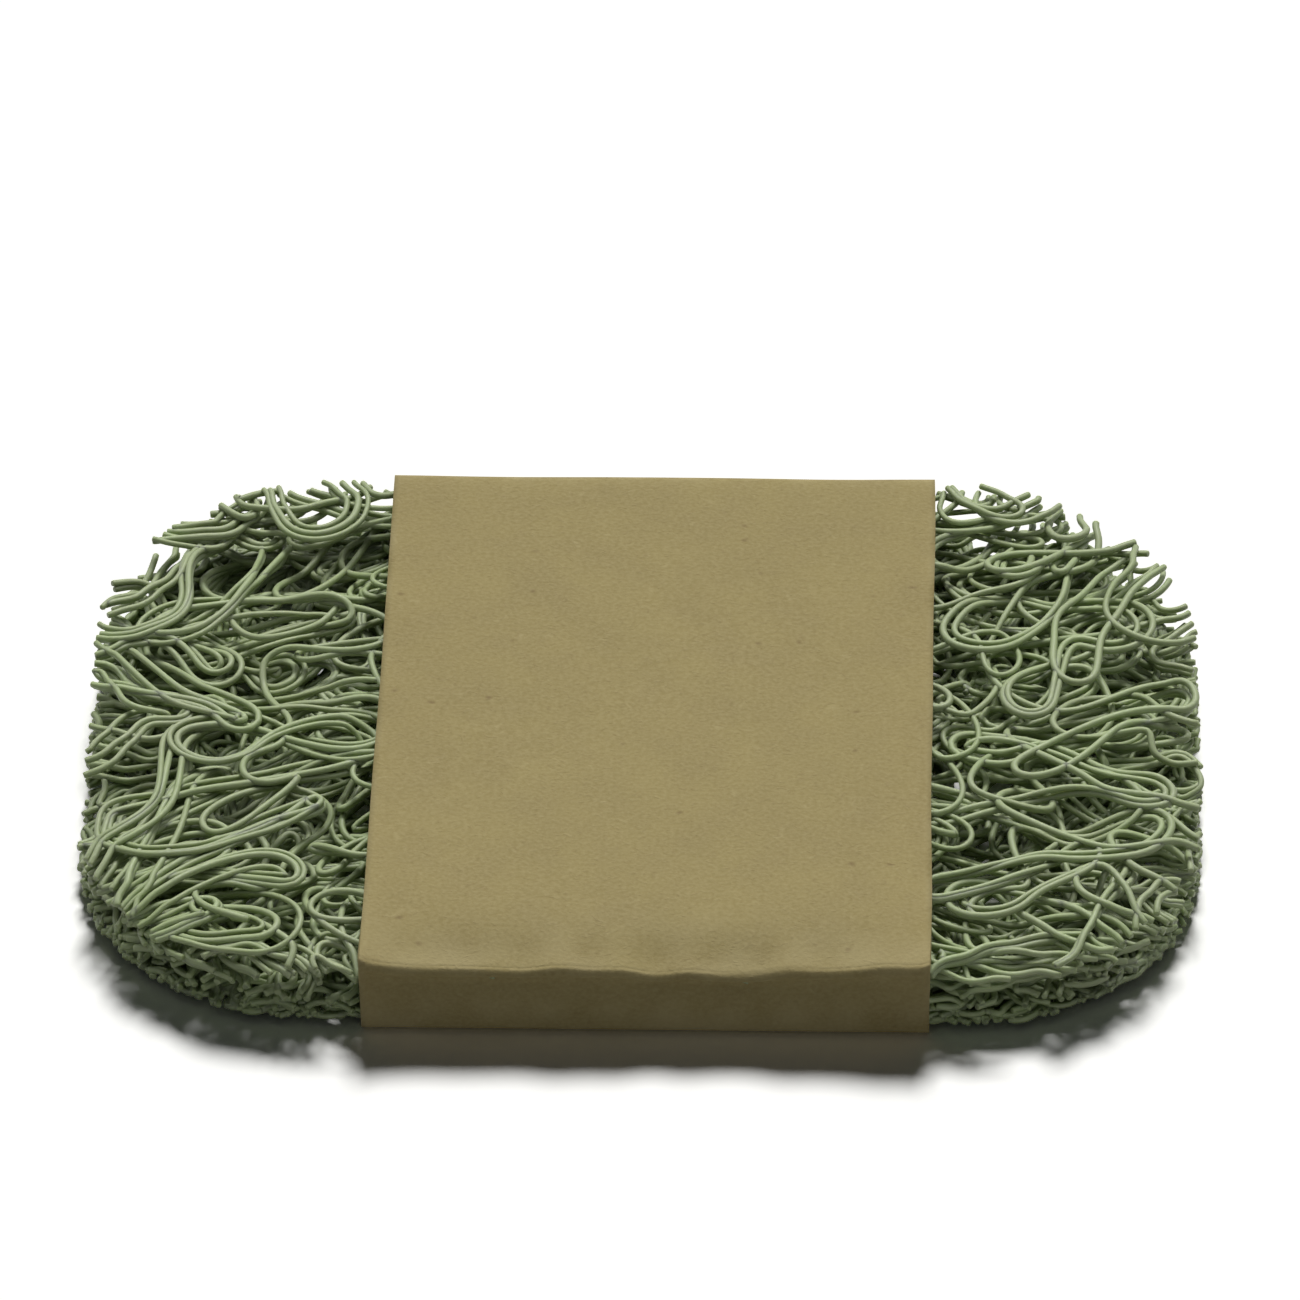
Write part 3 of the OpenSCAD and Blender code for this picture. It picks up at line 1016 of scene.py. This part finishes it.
# %% [markdown]
# ## The band
#
# One strip of paper goes from its inner end under the mat, up the back, over the
# top, down the front and under again, where its outer end is glued over the inner.
# A box with bevelled edges would look like a brick. Paper bends round its folds,
# its top lies on the loops, its long edges stray, and the front crease was pushed
# in by hands. So the strip's middle surface is a grid of points along the CAD's
# profile. Dents and swellings move the points, and the two faces of the paper then
# follow at half a thickness to each side.

# %% Trace the strip's profile
THICK = 0.35
FOLD = 1.2
OVERLAP_FROM, OVERLAP_TO, FLAP = 7.0, 22.0, 0.40


def strip_line(step=1.2, fold_steps=10):
    """Points (y, z) of the paper's middle from its inner end to its outer end."""
    middle = FOLD - THICK / 2
    back, top = band_high[1] - FOLD, band_high[2] - FOLD
    front = band_low[1] + FOLD
    points = [(OVERLAP_FROM, FLAP + THICK / 2)]

    def straight(y, z):
        a, b = np.array(points[-1]), np.array((y, z))
        count = max(int(np.linalg.norm(b - a) / step), 1)
        points.extend(tuple(a + (b - a) * i / count) for i in range(1, count + 1))

    def turn(y, z, first):
        for i in range(1, fold_steps + 1):
            a = math.radians(first + 90 * i / fold_steps)
            points.append((y + middle * math.cos(a), z + middle * math.sin(a)))

    straight(back, FLAP + THICK / 2)
    turn(back, FLAP + FOLD, -90)
    straight(back + middle, top)
    turn(back, top, 0)
    straight(front, top + middle)
    turn(front, top, 90)
    straight(front - middle, FOLD)
    turn(front, FOLD, 180)
    straight(OVERLAP_TO, THICK / 2)
    return np.array(points)


line = strip_line()
run = np.concatenate([[0], np.cumsum(np.linalg.norm(np.diff(line, axis=0), axis=1))])
print("the strip is", run[-1].round(1), "mm long,", (band_high - band_low)[0].round(1), "wide")

# %% Dent, swell and thicken the strip


def near(value, centre, width):
    return np.exp(-(((value - centre) / width) ** 2))


def bend_strip(columns=72):
    rng = np.random.default_rng(6)
    x = np.linspace(band_low[0], band_high[0], columns)
    edge = np.minimum(x - x[0], x[-1] - x)
    s, y = run[:, None], line[:, :1] + 0 * x
    z = line[:, 1:] + 0 * x
    across = x[None] + 0 * y
    grid = np.stack([across, s + 0 * across], -1)
    from_top = np.abs(line[:, 1] - (band_high[2] - THICK))
    crease = run[np.argmin(np.abs(line[:, 0] - (band_low[1] + THICK)) + from_top)]
    back_fold = run[np.argmin(np.abs(line[:, 0] - band_high[1] + THICK) + from_top)]
    on_top = ((line[:, 1] > band_high[2] - 0.3) * near(line[:, 0], 0, 60))[:, None]
    # Swellings over the loops, and a slow sag between the folds
    swell, slow = swirl(rng, 11), swirl(rng, 38)
    z += on_top * (0.05 * swell(grid) + 0.06 * slow(grid) - 0.17)
    # The front crease: pushed in, by more in some places, and rolled rather than sharp
    t = (x - x[0])[None]
    push = np.interp(x, ALONG, sag)
    dent = push[None] * np.where(s < crease, near(s, crease, 4.5), near(s, crease, 1.9))
    z -= dent
    y += 0.04 * dent
    y += 0.55 * push[None] * near(s, crease + 2.5, 1.3)
    # The back fold is rounder, and the panels are a little hollow
    soft = (0.30 + 0.08 * smooth_noise(rng, 12.0, t[0]))[None] * near(s, back_fold, 1.6)
    y -= 0.5 * soft
    z -= 0.7 * soft
    front_panel = near(line[:, 1], 5.0, 2.6)[:, None] * (line[:, 0] < 0)[:, None]
    y += front_panel * (0.10 + 0.09 * swirl(rng, 16)(grid))
    # The cut edges stray a little from straight, and lift off the loops
    cut = (np.exp(-edge / 1.5)[None]) * (0.10 * swirl(rng, 20)(grid))
    across = across + cut * np.sign(t - t.mean())
    z += on_top * np.exp(-edge / 2.0)[None] * 0.05 * swell(grid)
    return np.stack([across, y, z], -1), crease, back_fold


def thicken(grid):
    """The closed sheet round a grid of middle points, and where each point lies on the grid."""
    ds, dx = np.gradient(grid, axis=0), np.gradient(grid, axis=1)
    normal = np.cross(dx, ds)
    normal /= np.linalg.norm(normal, axis=-1, keepdims=True)
    outer, inner = grid + normal * THICK / 2, grid - normal * THICK / 2
    n, m = grid.shape[:2]
    index = np.arange(n * m).reshape(n, m)
    a, b, c, d = index[:-1, :-1], index[1:, :-1], index[1:, 1:], index[:-1, 1:]
    top = np.stack([a, d, c, b], -1).reshape(-1, 4)
    bottom = np.stack([a, b, c, d], -1).reshape(-1, 4) + n * m
    around = np.concatenate([index[0, :], index[1:, -1], index[-1, -2::-1], index[-2:0:-1, 0]])
    after = np.roll(around, -1)
    rim = np.stack([around, around + n * m, after + n * m, after], -1)
    return np.concatenate([outer.reshape(-1, 3), inner.reshape(-1, 3)]), top, bottom, rim, normal


strip, crease, back_fold = bend_strip()
points, top, bottom, rim, normal = thicken(strip)
middle_row = np.argmin(np.abs(line[:, 0]) + (line[:, 1] < 5) * 100)
if normal[middle_row, 0, 2] < 0:
    points, top, bottom, rim, normal = thicken(strip[:, ::-1])
    strip = strip[:, ::-1]
print("normal on top", normal[middle_row, 5].round(2))

# %% Put the band on
sheet = np.concatenate([top, bottom])
band = mesh_of("paper_band", [(points, np.concatenate([sheet, rim]), [])], paper)
smooth = np.arange(len(sheet) + len(rim)) < len(sheet)
band.data.polygons.foreach_set("use_smooth", smooth)
rng = np.random.default_rng(9)
s = run[:, None] + 0 * strip[..., 0]
scuff = 0.5 + 0.5 * swirl(rng, 7)(np.stack([strip[..., 0], s], -1))
edge = np.minimum(strip[..., 0] - band_low[0], band_high[0] - strip[..., 0])
# Wear on the back fold, the crease line and the cut edges. The broad bands 4 mm behind the crease
# and 8 mm past it, low on the front panel, are painted light.
rubbed_and_painted_light = (0.9 * near(s, back_fold, 0.7) + 0.7 * near(s, crease - 0.8, 1.6)
          + 0.4 * near(s, crease - 4, 3.5) + 0.9 * near(s, crease + 8.0, 2.8)
          + 0.7 * np.exp(-edge / 0.35))
wear_and_painted_light = np.clip(rubbed_and_painted_light, 0, 1) * np.clip(scuff, 0, 1)
band.data.attributes.new("wear_and_painted_light", "FLOAT", "POINT").data.foreach_set(
    "value", np.tile(wear_and_painted_light.ravel(), 2).astype(np.float32))
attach(band, "band")
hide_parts("kraft_band")
print("the band has", len(band.data.polygons), "faces")

# %% [markdown]
# ## The glue
#
# Between the two ends of the strip lies a thin film of hot glue. It hardly shows,
# and its CAD solid has the right shape, so it stays and only gets its finish: a
# pale, waxy film, cloudy where it cooled.

# %% Give the glue its finish


def glue():
    material, tree, body = new_material("dry glue")
    cloudy = use(tree, clouds, Per_metre=300.0, Detail=3.0)
    colour = mix_colour(tree, cloudy.outputs["Value"], (0.72, 0.66, 0.48), (0.80, 0.77, 0.62))
    bump = add(tree, "ShaderNodeBump")
    bump.inputs["Distance"].default_value = 0.00005
    wire(tree, [
        (colour, body.inputs["Base Color"]),
        (cloudy.outputs["Value"], bump.inputs["Height"]),
        (bump.outputs["Normal"], body.inputs["Normal"]),
    ])
    body.inputs["Roughness"].default_value = 0.45
    return material


glue_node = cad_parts["glue_line"]
glue_node.data.materials.clear()
glue_node.data.materials.append(glue())
glue_low, glue_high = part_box("glue_line")
print("glue film", [round(v, 2) for v in (glue_high - glue_low) * 1000], "mm")
